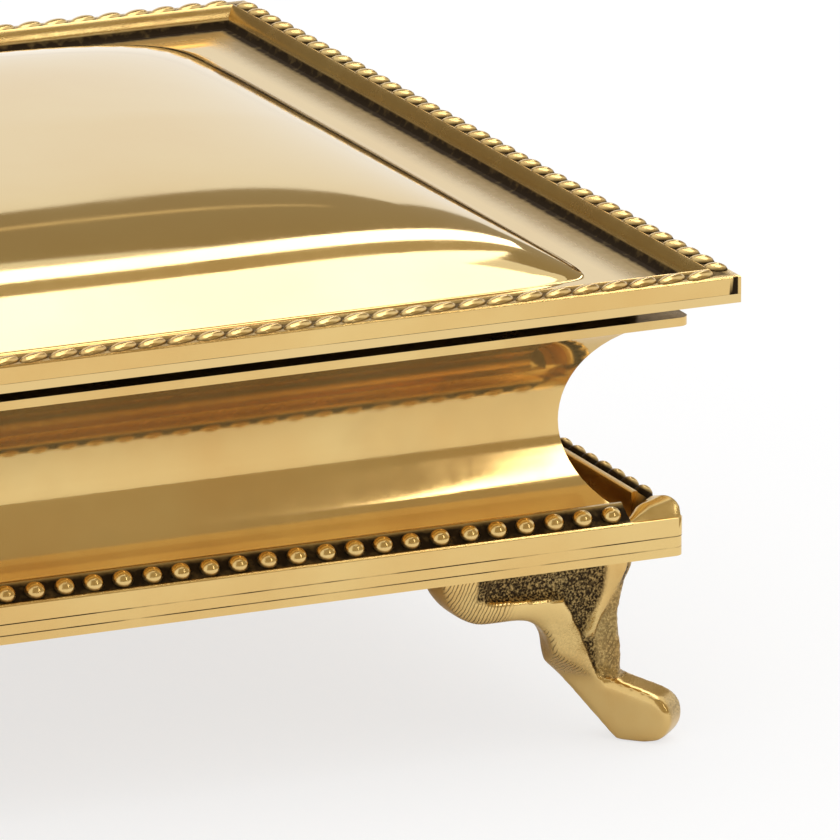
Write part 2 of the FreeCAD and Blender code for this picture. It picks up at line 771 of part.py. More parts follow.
SIDES = ("front", "back", "left", "right")
CORNERS = ("front_left", "front_right", "back_left", "back_right")
NODES = (
    ["sole_plate", "base_plate", "top_frame", "lid_panel",
     "seat_bar_front", "seat_bar_left", "seat_bar_right"]
    + [f"{side}_wall" for side in SIDES]
    + [f"base_moulding_{side}" for side in SIDES]
    + [f"lid_rim_{side}" for side in SIDES]
    + [f"base_corner_{corner}" for corner in CORNERS]
    + [f"foot_{corner}" for corner in CORNERS]
    + [f"hinge_{piece}_{side}" for piece in ("body_leaf", "lid_leaf", "pin")
       for side in ("left", "right")])

for item in doc.Objects:
    if "Invalid" in item.State or "Error" in item.State:
        raise ValueError(f"{item.Label} did not build: {item.State}")
os.makedirs("parts", exist_ok=True)
for label in NODES:
    item = doc.getObjectsByLabel(label)[0]
    if item.Shape.isNull() or not item.Shape.isValid():
        raise ValueError(f"{label} has no sound shape")
    item.Shape.exportStep(f"parts/{label}.step")
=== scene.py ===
from collections import namedtuple
import math
import bmesh
import bpy
from mathutils import Matrix, Vector, noise


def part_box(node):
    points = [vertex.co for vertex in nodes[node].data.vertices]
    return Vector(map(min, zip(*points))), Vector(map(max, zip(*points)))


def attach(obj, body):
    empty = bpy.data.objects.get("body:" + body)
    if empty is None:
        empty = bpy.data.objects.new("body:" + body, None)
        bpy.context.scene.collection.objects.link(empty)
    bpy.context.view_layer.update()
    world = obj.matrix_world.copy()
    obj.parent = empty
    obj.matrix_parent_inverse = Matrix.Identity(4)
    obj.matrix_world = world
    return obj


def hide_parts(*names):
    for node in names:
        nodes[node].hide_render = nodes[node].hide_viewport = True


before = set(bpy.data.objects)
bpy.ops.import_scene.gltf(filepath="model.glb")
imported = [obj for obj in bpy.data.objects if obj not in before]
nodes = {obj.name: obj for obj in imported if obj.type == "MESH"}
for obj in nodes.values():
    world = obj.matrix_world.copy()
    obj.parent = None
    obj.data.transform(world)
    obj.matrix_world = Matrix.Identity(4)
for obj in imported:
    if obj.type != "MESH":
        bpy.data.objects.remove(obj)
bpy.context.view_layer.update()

# A footed brass box. Metres; X along the front, Y to the back, Z up, floor at zero.
MM = 0.001
SIDES = ("front", "back", "left", "right")
LONG_SIDES = ("front", "back")
INWARD = {"front": (0, 1), "back": (0, -1), "left": (1, 0), "right": (-1, 0)}
CORNERS = ("front_left", "front_right", "back_left", "back_right")

# Where the CAD puts things
lid_low, lid_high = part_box("lid_panel")
strip_low, strip_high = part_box("base_moulding_front")
plate_low, plate_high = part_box("base_plate")
cove_low, cove_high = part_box("front_wall")
rim_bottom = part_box("lid_rim_front")[0].z
sole_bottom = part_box("sole_plate")[0].z

# Colours
BRASS = (0.74, 0.55, 0.25, 1)
RICH_BRASS = (0.75, 0.535, 0.215, 1)
WARM_BRASS = (0.68, 0.43, 0.15, 1)
# Tarnish for real stains, also used as painted shade on the frame's seat under the lid
TARNISH_AND_SHADE = (0.16, 0.11, 0.05, 1)
# Painted shade for the seat bars and the frame's seat in the gap under the lid
PAINTED_SHADE_BRASS = (0.05, 0.033, 0.014, 1)
# Dark for real soiling and casting patina, and for painted shade in crevices, under beads and on the feet's
# legs
GRIME_AND_SHADE = (0.040, 0.026, 0.014, 1)
OLIVE = (1.0, 0.84, 0.55, 1)
WHITE = (1.0, 1.0, 1.0, 1)

# Fineness of the textures, in repeats per metre
floor_scale = 3
cloud_scale = 38
ripple_scale = 60
dash_scale = 70
stain_scale = 95
haze_scale = 120
hair_scale = 500
stroke_scale = 800
speck_scale = 900
grain_scale = 4000

# Wear of the finishes
# Roughness where soiling and painted shade darken the brass
grime_and_shade_roughness = 0.75
ripple_share = 0.4
scratch_depth = 0.02 * MM
casting_grain = 0.14 * MM
casting_bump = 0.8
file_slant = math.radians(-24)
plate_seam = 0.07 * MM
rim_seam = 0.05 * MM
crisp_angle = math.radians(40)
bevel_angle = math.radians(50)
level_face = 0.9


# Helpers for materials

class Finish:
    """The node tree of one material, with short calls for what the finishes need."""

    def __init__(self, name):
        self.material = bpy.data.materials.new(name)
        self.material.use_nodes = True
        tree = self.material.node_tree
        self.nodes, self.links = tree.nodes, tree.links
        self.shader = tree.nodes["Principled BSDF"]
        self.surface = tree.nodes["Material Output"].inputs["Surface"]

    def feed(self, node, inputs):
        """Fills inputs of a node: a plain value is set, another node's output is linked."""
        for socket, value in inputs.items():
            if isinstance(value, bpy.types.NodeSocket):
                self.links.new(value, node.inputs[socket])
            else:
                node.inputs[socket].default_value = value

    def add(self, kind, inputs, output, **settings):
        """Adds a node and returns one of its outputs."""
        node = self.nodes.new(kind)
        for name, value in settings.items():
            setattr(node, name, value)
        self.feed(node, inputs)
        return node.outputs[output]

    def place(self):
        return self.add("ShaderNodeTexCoord", {}, "Object")

    def attribute(self, name):
        """The number that the mesh holds for each vertex under this name."""
        return self.add("ShaderNodeAttribute", {}, "Fac", attribute_name=name)

    def texture(self, place, scale, detail=4.0, roughness=0.55, stretch=(1, 1, 1)):
        where = self.add("ShaderNodeMapping", {"Vector": place, "Scale": stretch}, "Vector")
        return self.add("ShaderNodeTexNoise", {"Vector": where, "Scale": scale, "Detail": detail,
                                               "Roughness": roughness}, "Fac")

    def remap(self, value, low, high, to_low, to_high):
        return self.add("ShaderNodeMapRange", {"Value": value, "From Min": low, "From Max": high,
                                               "To Min": to_low, "To Max": to_high}, "Result")

    def calculate(self, operation, *values, clamp=False):
        return self.add("ShaderNodeMath", dict(enumerate(values)), "Value",
                        operation=operation, use_clamp=clamp)

    def multiply(self, first, second):
        return self.calculate("MULTIPLY", first, second, clamp=True)

    def larger(self, first, second):
        return self.calculate("MAXIMUM", first, second, clamp=True)

    def mix(self, factor, first, second):
        return self.add("ShaderNodeMix", {"Factor": factor, "A": first, "B": second}, "Result")

    def mix_colour(self, factor, first, second):
        """Sockets 6, 7 and 2 are the node's colour sockets."""
        return self.add("ShaderNodeMix", {"Factor": factor, 6: first, 7: second}, 2, data_type="RGBA")

    def bump(self, height, strength, depth):
        return self.add("ShaderNodeBump", {"Height": height, "Strength": strength, "Distance": depth},
                        "Normal")


# Materials

def seam_line(finish, place, level, width):
    """A broken line of dirt round the box at one height."""
    height = finish.add("ShaderNodeSeparateXYZ", {"Vector": place}, "Z")
    away = finish.calculate("ABSOLUTE", finish.calculate("SUBTRACT", height, level))
    line = finish.remap(away, width * 0.6, width, 1.0, 0.0)
    dashes = finish.texture(place, dash_scale, stretch=(1, 1, 6))
    return finish.multiply(line, finish.remap(dashes, 0.40, 0.56, 0.05, 1.0))


def brass(name, roughness, wear=0.35, scratch=0.12, seams=(), tones=(BRASS, WARM_BRASS), metal=1.0,
          stains=0.0):
    """Polished brass: patchy warmth, fine scratches, and darkening where the mesh says, which is real soiling
    with painted shade in crevices, in bead seats and on the lower sides of beads.

    seams lists the height and half width of lines of dirt."""
    finish = Finish(name)
    place = finish.place()
    patches = finish.remap(finish.texture(place, cloud_scale, 5), 0.40, 0.64, 0.0, wear)
    colour = finish.mix_colour(patches, *tones)
    if stains:
        spots = finish.remap(finish.texture(place, stain_scale), 0.5, 0.68, 0.0, stains)
        colour = finish.mix_colour(spots, colour, TARNISH_AND_SHADE)

    specks = finish.remap(finish.texture(place, speck_scale, 3), 0.3, 0.6, 0.9, 1.1)
    # The mesh marks real soiling together with painted shade in crevices and on the lower sides of beads; seam
    # lines add dark joints.
    dirt_and_shade = finish.multiply(finish.attribute("grime_and_shade"), specks)
    for level, width in seams:
        dirt_and_shade = finish.larger(dirt_and_shade, seam_line(finish, place, level, width))

    haze = finish.texture(place, haze_scale, 6, 0.7)
    gloss = finish.remap(haze, 0.3, 0.75, roughness * 0.6, roughness * 1.7)
    hairs = finish.texture(place, hair_scale, 3, 0.6, stretch=(1, 14, 14))
    ripple = finish.texture(place, ripple_scale, 2)
    rubbed = finish.mix(ripple_share, hairs, ripple)
    finish.feed(finish.shader, {
        "Base Color": finish.mix_colour(dirt_and_shade, colour, GRIME_AND_SHADE),
        "Metallic": metal,
        "Roughness": finish.mix(dirt_and_shade, gloss, grime_and_shade_roughness),
        "Normal": finish.bump(rubbed, scratch, scratch_depth)})
    return finish.material


def cast_brass(name):
    """Cast feet: polished where raised, dark and granular where sunk, filed at the tips."""
    finish = Finish(name)
    place = finish.place()
    # Real casting patina in the hollows, with a painted shade band down the leg
    patina_and_shade = finish.attribute("patina_and_shade")
    grains = finish.texture(place, grain_scale, 3, 0.6)
    rough = finish.multiply(patina_and_shade, finish.remap(grains, 0.42, 0.68, 1.1, 0.3))
    slant = finish.add("ShaderNodeMapping", {"Vector": place, "Rotation": (0, file_slant, 0)}, "Vector")
    strokes = finish.add("ShaderNodeTexWave", {"Vector": slant, "Scale": stroke_scale,
                                               "Distortion": 4.0, "Detail": 2.0}, "Fac")
    cuts = finish.multiply(finish.attribute("filed"), finish.remap(strokes, 0.4, 0.1, 0.0, 0.65))
    dark = finish.larger(rough, cuts)
    warmth = finish.remap(finish.texture(place, haze_scale), 0.35, 0.65, 0.0, 0.9)
    colour = finish.mix_colour(warmth, RICH_BRASS, WARM_BRASS)
    lumps = finish.multiply(grains, finish.calculate("ADD", patina_and_shade, 0.05, clamp=True))
    finish.feed(finish.shader, {
        "Base Color": finish.mix_colour(dark, colour, GRIME_AND_SHADE),
        "Metallic": 1.0,
        "Roughness": finish.remap(dark, 0.0, 1.0, 0.17, 0.6),
        "Normal": finish.bump(lumps, casting_bump, casting_grain)})
    return finish.material


def glowing(name, colour, strength):
    """A stage surface that gives off its own even light."""
    finish = Finish(name)
    finish.nodes.remove(finish.shader)
    glow = finish.add("ShaderNodeEmission", {"Color": colour, "Strength": strength}, "Emission")
    finish.links.new(glow, finish.surface)
    return finish.material


def floor_white():
    """A pale floor, lifted towards white for the camera so that a soft shadow stays."""
    finish = Finish("floor_white")
    tone = finish.remap(finish.texture(finish.place(), floor_scale, 2), 0.3, 0.7, 0.93, 0.96)
    colour = finish.add("ShaderNodeCombineColor", {"Red": tone, "Green": tone, "Blue": tone}, "Color")
    finish.feed(finish.shader, {"Base Color": colour, "Roughness": 0.9, "Specular IOR Level": 0.0})
    glow = finish.add("ShaderNodeEmission", {"Strength": 1.0}, "Emission")
    lift = finish.multiply(finish.add("ShaderNodeLightPath", {}, "Is Camera Ray"), 0.7)
    seen = finish.add("ShaderNodeMixShader", {"Fac": lift, 1: finish.shader.outputs["BSDF"], 2: glow},
                      "Shader")
    finish.links.new(seen, finish.surface)
    return finish.material


warm_tones = (RICH_BRASS, WARM_BRASS)
sheet_brass = brass("brass_sheet", 0.065, wear=0.85, tones=warm_tones, metal=0.84, stains=0.08)
lid_brass = brass("brass_lid", 0.05, wear=0.25, scratch=0.08)
strip_brass = brass("brass_strip", 0.17, wear=0.75, scratch=0.2, tones=warm_tones,
                    seams=((plate_low.z, plate_seam), (plate_high.z, plate_seam), (rim_bottom, rim_seam)))
foot_brass = cast_brass("brass_cast")
hidden_brass = brass("brass_fittings", 0.28, wear=0.8, scratch=0.3)
inside_brass = brass("brass_inside", 0.26, wear=0.8, scratch=0.3, tones=warm_tones)
# Painted shade: the seat bars are near black so that the gap under the lid looks dark.
bar_brass = brass("brass_bars_painted_shade", 0.5, tones=(PAINTED_SHADE_BRASS, GRIME_AND_SHADE))
# Painted shade for the frame's upward faces, which show in the gap under the lid.
seat_brass = brass("brass_seat_painted_shade", 0.35, tones=(TARNISH_AND_SHADE, PAINTED_SHADE_BRASS))


# Helpers for shapes

def new_object(name, data):
    item = bpy.data.objects.new(name, data)
    bpy.context.scene.collection.objects.link(item)
    return item


def add_piece(name, mesh, material, body, slot, *replaced, crisp=True):
    piece = new_object(name, mesh)
    mesh.materials.append(material)
    mesh.shade_smooth()
    if crisp:
        mesh.set_sharp_from_angle(angle=crisp_angle)
    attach(piece, body)
    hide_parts(*replaced)


def add_marks(mesh, name, marks):
    """Keeps one number per vertex for the material."""
    mesh.attributes.new(name, "FLOAT", "POINT").data.foreach_set("value", marks)


def finish_mesh(name, bm, marks, attribute="grime_and_shade"):
    """Turns a bmesh into a mesh with its marks."""
    mesh = bpy.data.meshes.new(name)
    bmesh.ops.recalc_face_normals(bm, faces=bm.faces)
    bm.to_mesh(mesh)
    bm.free()
    add_marks(mesh, attribute, marks)
    return mesh


def bridge(bm, first, second):
    """A band of faces between two closed loops of equal length."""
    for index in range(len(first)):
        after = (index + 1) % len(first)
        bm.faces.new((first[index], first[after], second[after], second[index]))


def tube(bm, sections):
    """A skin over a row of closed sections, shut at both ends."""
    for first, second in zip(sections, sections[1:]):
        bridge(bm, first, second)
    bm.faces.new(sections[0])
    bm.faces.new(sections[-1])


def between(value, table):
    """Reads a table of rising (value, result) pairs, with straight lines between them."""
    for (low, first), (high, second) in zip(table, table[1:]):
        if value <= high:
            share = max(0.0, (value - low) / (high - low))
            return first + (second - first) * share
    return table[-1][1]


def smooth_step(value, low, high):
    share = min(1.0, max(0.0, (value - low) / (high - low)))
    return share * share * (3 - 2 * share)


def hump(value, rise, fall):
    """Rises from nought to one over the first span and falls back over the second."""
    return smooth_step(value, *rise) * (1 - smooth_step(value, *fall))


# Lid panel

lid_sheet = 0.9 * MM
crease_inset = 10.6 * MM
crease_round = 0.9 * MM
cushion_slope = 0.7265
cushion_step = 1.2 * MM
hip_power = 2.2
hip_round = 3.4 * MM
dent_height = 0.02 * MM
dent_span = 26 * MM
dent_fade = 12 * MM
half_length, half_depth = lid_high.x, lid_high.y
border_top = lid_low.z + lid_sheet
cushion_depth = half_depth - crease_inset
cushion_rise = lid_high.z - border_top

# Mesh lines across the border, in millimetres from the lid's edge and outside the crease
border_lines = (0, 3.2, 3.9, 4.5, 4.85, 5.2, 5.5, 6.5)
crease_lines = (1.5, 0.4)

# Painted shade, with some soiling, in the crevice along the inside of the rim, and a weaker painted shade over
# the border beside it, by distance from the lid's edge
shade_and_grime_start = (2 * MM, 3 * MM)
crevice_end = (4.5 * MM, 5.5 * MM)
border_shade_end = (crease_inset - 4.6 * MM, crease_inset - 1.8 * MM)
border_shade = 0.4


def cushion_height(x, y):
    """Height above the border: a steep shoulder, a flat crown and soft hips."""
    from_side = half_length - crease_inset - abs(x) + hip_round
    from_front = half_depth - crease_inset - abs(y) + hip_round
    if min(from_side, from_front) <= hip_round:
        return 0.0
    inward = (from_side ** -hip_power + from_front ** -hip_power) ** (-1 / hip_power) - hip_round
    if inward <= 0:
        return 0.0
    steepness = cushion_slope * cushion_depth / cushion_rise
    rise = cushion_rise * (1 - max(0.0, 1 - inward / cushion_depth) ** steepness)
    return rise * smooth_step(inward, -crease_round, crease_round)


def dents(x, y):
    """Slight unevenness of a hand-finished sheet."""
    return dent_height * noise.noise(Vector((x, y, 0)) / dent_span)


# Painted shade in the crevice by the rim, with some soiling, and a weaker painted shade across the border.
def border_shade_and_grime(inset):
    return max(hump(inset, shade_and_grime_start, crevice_end),
               border_shade * hump(inset, shade_and_grime_start, border_shade_end))


def grid_lines(half):
    """Lines across the lid: few on the border, many near the crease."""
    crease = half - crease_inset
    border = [half - inset * MM for inset in border_lines] + [crease + gap * MM for gap in crease_lines]
    steps = int(crease / cushion_step)
    cushion = [crease * math.sin(0.5 * math.pi * step / steps) for step in range(steps, 0, -1)]
    lines = border + cushion
    return [-line for line in lines] + [0.0] + lines[::-1]


def lid_mesh():
    """The pressed sheet: an upper and an under skin, joined round the edge."""
    bm = bmesh.new()
    marks, edges = [], []
    for level in (border_top, lid_low.z):
        rows = []
        for x in grid_lines(half_length):
            row = []
            for y in grid_lines(half_depth):
                inset = min(half_length - abs(x), half_depth - abs(y))
                wobble = dents(x, y) * smooth_step(inset, crease_inset, crease_inset + dent_fade)
                height = level + cushion_height(x, y) + wobble
                row.append(bm.verts.new((x, y, min(height, lid_high.z))))
                marks.append(border_shade_and_grime(inset) if level == border_top else 0.0)
            rows.append(row)
        for first, second in zip(rows, rows[1:]):
            for face in zip(first, second, second[1:], first[1:]):
                bm.faces.new(face)
        edges.append([row[0] for row in rows] + rows[-1][1:]
                     + [row[-1] for row in rows[-2::-1]] + rows[0][-2:0:-1])
    bridge(bm, *edges)
    return finish_mesh("lid_panel_pressed", bm, marks)


add_piece("lid_panel_pressed", lid_mesh(), lid_brass, "lid", "polished_sheet", "lid_panel")


# Beaded strips

# A row of beads: inset, height and slope of its seat, half length, half width and height of a bead,
# how far a bead is turned, how far the row stays from the ends, and below what height a bead gets painted
# shade
BeadRow = namedtuple("BeadRow", "inset height slope size turn clear polish")
rim_row = BeadRow(1.3 * MM, 1.80 * MM, 0.0, Vector((1.95, 0.92, 0.66)) * MM, math.radians(25),
                  3.4 * MM, 0.5)
end_row = rim_row._replace(size=Vector((1.36, 1.05, 0.74)) * MM, turn=math.radians(55), polish=0.7)
base_row = BeadRow(1.30 * MM, 2.62 * MM, 0.675, Vector((1.1, 1.02, 0.96)) * MM, 0.0, 1.3 * MM, 0.95)
front_row = base_row._replace(polish=0.42)

bead_pitch = 3.14 * MM
bead_rings, bead_spokes = 7, 14
bead_reach = 1.25
shade_fade = 0.6
bead_shift, bead_shrink = 0.05, 0.1
uneven_rate = 1.7

# Sections of the strips: inset and height in millimetres, and share of darkening, which is soiling with
# painted shade in the bead seat and the crevices
rim_profile = (
    (0.0, 0.0, 0.0), (0.0, 1.62, 0.0), (0.0, 1.72, 0.0), (0.08, 1.84, 0.0), (0.25, 1.88, 0.0),
    (1.25, 1.82, 0.8), (2.15, 1.90, 0.8), (2.35, 2.15, 0.1), (2.50, 2.18, 0.0), (2.62, 2.10, 0.1),
    (2.85, 1.82, 0.1), (3.05, 1.52, 0.1), (3.20, 1.20, 0.1), (3.28, 0.95, 0.1), (3.40, 0.85, 0.2),
    (3.48, 0.70, 0.9), (3.65, 0.30, 1.0), (3.95, 0.0, 1.0))
base_profile = (
    (0.0, 0.0, 0.0), (0.0, 1.72, 0.0), (0.0, 1.85, 0.0), (0.1, 2.02, 0.0), (0.3, 2.06, 0.1),
    (0.5, 2.0, 0.9), (1.3, 2.45, 1.0), (2.1, 3.0, 1.0), (2.4, 3.2, 0.8), (2.6, 3.42, 0.3),
    (2.95, 3.46, 0.1), (3.21, 3.3, 0.05), (3.21, 0.0, 0.1))
section_step = 2.5 * MM

# Painted shade of an open mitre, a dark notch on the face: mesh lines near an end in millimetres, where
# the notch starts, and how far from the end it reaches, low and high on the face
end_lines = (0.0, 0.3, 0.4, 0.8, 1.0, 1.2, 1.4)
notch_start = 0.35 * MM
open_notch = (1.3 * MM, 0.9 * MM)
no_notch = (0.0, 0.0)


def add_bead(bm, marks, centre, along, across, up, size, row):
    """One rounded bead, laid askew by the row's turn as the strands of a rope lie."""
    long = along * math.cos(row.turn) + across * math.sin(row.turn)
    short = across * math.cos(row.turn) - along * math.sin(row.turn)
    rings = []
    for ring in range(bead_rings + 1):
        polar = 0.5 * math.pi * ring / bead_rings * bead_reach
        points = []
        for spoke in range(bead_spokes if ring else 1):
            angle = 2 * math.pi * spoke / bead_spokes
            x, y = math.cos(angle) * math.sin(polar), math.sin(angle) * math.sin(polar)
            z = math.cos(polar)
            points.append(bm.verts.new(centre + long * x * size.x + short * y * size.y + up * z * size.z))
            # Painted shade on the lower side of each bead, below the row's shade level; only the top stays
            # bright.
            marks.append(smooth_step(row.polish - z, 0.0, shade_fade))
        rings.append(points)
    tip = rings[0][0]
    for spoke in range(bead_spokes):
        after = (spoke + 1) % bead_spokes
        bm.faces.new((tip, rings[1][spoke], rings[1][after]))
        for upper, lower in zip(rings[1:], rings[2:]):
            bm.faces.new((upper[spoke], lower[spoke], lower[after], upper[after]))


def side_frame(side, low, high):
    """Middle of a side's outer edge, its direction, the direction inwards and the length."""
    inward = Vector((*INWARD[side], 0))
    along = Vector((inward.y, -inward.x, 0))
    half = Vector(((high.x - low.x) / 2, (high.y - low.y) / 2, 0))
    middle = Vector(((high.x + low.x) / 2, (high.y + low.y) / 2, low.z))
    edge = middle - Vector((inward.x * half.x, inward.y * half.y, 0))
    length = 2 * abs(along.x * half.x + along.y * half.y)
    return edge, along, inward, length


def strip_mesh(name, edge, along, inward, length, profile, mitre, row, notch):
    """A strip of the given section with a row of beads on its seat."""
    bm = bmesh.new()
    marks, sections = [], []
    up = Vector((0, 0, 1))
    count = max(2, int(length / section_step))
    ends = [line * MM / length for line in end_lines]
    for share in ends + [step / count for step in range(1, count)] + [1 - end for end in ends[::-1]]:
        from_end = min(share, 1 - share) * length
        section = []
        for profile_inset, profile_height, grime_and_shade in profile:
            inset, height = profile_inset * MM, profile_height * MM
            reach = length - (2 * inset if mitre else 0)
            point = edge + along * ((share - 0.5) * reach) + inward * inset + up * height
            section.append(bm.verts.new(point))
            # Near an open mitre the face gets full painted shade, standing for the dark gap of the mitre.
            notched = inset == 0 and notch_start < from_end < (notch[1] if height else notch[0])
            marks.append(1.0 if notched else grime_and_shade)
        sections.append(section)
    tube(bm, sections)

    beads = int((length - 2 * row.clear) / bead_pitch) + 1
    lean = math.atan(row.slope)
    across = inward * math.cos(lean) + up * math.sin(lean)
    normal = up * math.cos(lean) - inward * math.sin(lean)
    for index in range(beads):
        place = (index - (beads - 1) / 2) * bead_pitch
        uneven = noise.noise(Vector((place, row.inset, length)) / bead_pitch * uneven_rate)
        shifted = place + bead_shift * bead_pitch * uneven
        centre = edge + along * shifted + inward * row.inset + up * row.height
        size = row.size * (1 - bead_shrink * abs(uneven))
        add_bead(bm, marks, centre, along, across, normal, size, row)
    return finish_mesh(name, bm, marks)


for side in SIDES:
    node = f"lid_rim_{side}"
    row, notch = (rim_row, open_notch) if side in LONG_SIDES else (end_row, no_notch)
    mesh = strip_mesh(f"{node}_beaded", *side_frame(side, *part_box(node)), rim_profile, True, row, notch)
    add_piece(f"{node}_beaded", mesh, strip_brass, "lid", "beaded_strip", node)

for side in SIDES:
    node = f"base_moulding_{side}"
    row = front_row if side == "front" else base_row
    mesh = strip_mesh(f"{node}_beaded", *side_frame(side, *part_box(node)), base_profile, False, row, no_notch)
    add_piece(f"{node}_beaded", mesh, strip_brass, "body", "beaded_strip", node)


# Corner pieces of the base

corner_reach = strip_low.x - plate_low.x
corner_width = strip_high.y - strip_low.y
corner_round = 0.9 * MM
corner_face = 1.95 * MM
corner_ledge = 0.4 * MM
crest_gap = 0.02 * MM
arris_inset, arris_drop = 0.08 * MM, 0.05 * MM
swell_start = 0.1 * MM
leaf_steps, leaf_spans = 16, 14

# Width and rise of a leaf, as shares of the largest, from its tip to the mitre
leaf_width = ((0.0, 0.45), (0.4, 0.9), (1.0, 1.0))
leaf_rise = ((0.0, 0.05), (0.2, 0.36), (0.5, 0.72), (1.0, 1.0))
ledge_loss, ledge_span = 0.75, (0.1, 1.0)
swell_lean, swell_power = 0.85, 0.6
mitre_grime, mitre_span = 0.45, (0.93, 1.0)


def rounded(p, q):
    """Bends the sharp outer corner of a plan into a round one."""
    if p >= corner_round or q >= corner_round:
        return p, q
    left, short = 1 - p / corner_round, 1 - q / corner_round
    return (corner_round * (1 - left * math.sqrt(1 - short * short / 2)),
            corner_round * (1 - short * math.sqrt(1 - left * left / 2)))


def leaf_outline(share, crest):
    """Section of a leaf at a share of the way from its tip to the mitre, as inset and height."""
    width = corner_width * between(share, leaf_width)
    rise = (crest - corner_face) * between(share, leaf_rise)
    ledge = corner_ledge * (1 - ledge_loss * smooth_step(share, *ledge_span))
    outline = [(0.0, 0.0), (0.0, corner_face - arris_drop), (arris_inset, corner_face)]
    for span in range(leaf_spans + 1):
        across = span / leaf_spans
        swell = max(0.0, math.sin(math.pi * across ** swell_lean)) ** swell_power
        inset = swell_start + ledge + across * (width - ledge - swell_start)
        outline.append((inset, corner_face + rise * swell))
    return outline + [(width, 0.0)]


def corner_mesh(name, node):
    """Two leaves that swell from their tips and meet in a mitre over the corner."""
    low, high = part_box(node)
    corner_x = high.x if high.x > 0 else low.x
    corner_y = high.y if high.y > 0 else low.y
    inward_x, inward_y = -math.copysign(1, corner_x), -math.copysign(1, corner_y)
    crest = high.z - low.z - crest_gap
    bm = bmesh.new()
    marks = []
    for swapped in (False, True):
        sections = []
        for step in range(leaf_steps + 1):
            share = step / leaf_steps
            section = []
            for q, z in leaf_outline(share, crest):
                along, across = rounded(corner_reach + share * (q - corner_reach), q)
                if swapped:
                    along, across = across, along
                point = (corner_x + inward_x * along, corner_y + inward_y * across, low.z + z)
                section.append(bm.verts.new(point))
                marks.append(mitre_grime * smooth_step(share, *mitre_span) if z > corner_face else 0.0)
            sections.append(section)
        tube(bm, sections)
    return finish_mesh(name, bm, marks)


for corner in CORNERS:
    node = f"base_corner_{corner}"
    mesh = corner_mesh(f"{node}_leaf", node)
    add_piece(f"{node}_leaf", mesh, strip_brass, "body", "beaded_strip", node)


# Feet

foot_voxel = 0.28 * MM
soften_factor, soften_rounds = 0.5, 14
hoof_squash = 0.2
grain_span = 0.55 * MM

# Distances in millimetres: depth below the base, against distance from its corner or outward flare
recess_edge = ((0.0, 22.0), (3.6, 21.6), (4.2, 14.7), (4.5, 11.6), (6.3, 10.2), (8.5, 9.2),
               (10.9, 8.5), (13.2, 7.6), (13.6, 0.0))
ridge_line = ((0.0, 5.9), (2.6, 6.1), (4.5, 6.3), (6.5, 6.9), (8.6, 7.9))
arris_flare = ((0.0, 0.55), (2.0, 0.5), (4.5, 0.1), (7.0, -0.25), (9.5, -0.1), (10.5, 0.0), (30.0, 0.0))

# Height of the hoof in millimetres, against distance in from the base's corner
hoof_top = ((-1.0, 1.6), (0.08, 2.9), (0.38, 3.9), (1.0, 5.2), (1.81, 6.2), (4.2, 7.2), (4.6, 20.0))

# Relief of the casting, in millimetres
grain_height = 0.1
recess_depth = 0.25
ridge_height = 0.25
ridge_least, ridge_spread, ridge_side = 0.3, 0.5, 0.5

# Spans over which a mark comes or goes, in millimetres of depth
ridge_taper, ridge_end = (0.5, 5.0), (8.4, 9.6)
inner_end = (12, 14)
toe_start, toe_end = (13, 14.5), (16, 18)
flute_start = (2.5, 4.5)
leg_shade_start, leg_shade_end = (5.0, 8.0), (12.0, 14.0)
shin_start, shin_end = (7.0, 8.0), (12.0, 13.5)

# Spans in millimetres across the face
recess_side = (-0.1, 0.4)
flute_side = (0.2, 0.7)
flare_side = (4.5, 7.0)
tip_side = (16.5, 18.5)

# Spans of how far a surface faces outwards
outer_facing = (0.2, 0.6)
inner_facing = (-0.1, 0.4)
toe_facing = (0.3, 0.7)
shin_facing = (0.12, 0.4)

# Darkness of the patina, and of the painted shade band down the leg
inner_dark, toe_dark, leg_shade_dark = 0.7, 0.5, 0.2
flute_shine = 0.45


def softened_copy(node):
    """A fine, softened mesh of the cast foot."""
    copy = new_object(f"{node}_copy", nodes[node].data.copy())
    remesh = copy.modifiers.new("voxels", "REMESH")
    remesh.mode = "VOXEL"
    remesh.voxel_size = foot_voxel
    soften = copy.modifiers.new("soften", "SMOOTH")
    soften.factor = soften_factor
    soften.iterations = soften_rounds
    bpy.context.view_layer.update()
    cast = copy.evaluated_get(bpy.context.evaluated_depsgraph_get())
    bm = bmesh.new()
    bm.from_mesh(cast.to_mesh())
    bpy.data.objects.remove(copy)
    return bm


def round_hoof(bm):
    """Presses the hoof down to its rounded top and softens the casting once more."""
    for vertex in bm.verts:
        inset = (plate_high.x - vertex.co.x + plate_high.y + vertex.co.y) / 2
        top = between(inset / MM, hoof_top) * MM
        if vertex.co.z > top:
            vertex.co.z = top + hoof_squash * (vertex.co.z - top)
    for _ in range(soften_rounds):
        bmesh.ops.smooth_vert(bm, verts=bm.verts, factor=soften_factor,
                              use_axis_x=True, use_axis_y=True, use_axis_z=True)
    bm.normal_update()


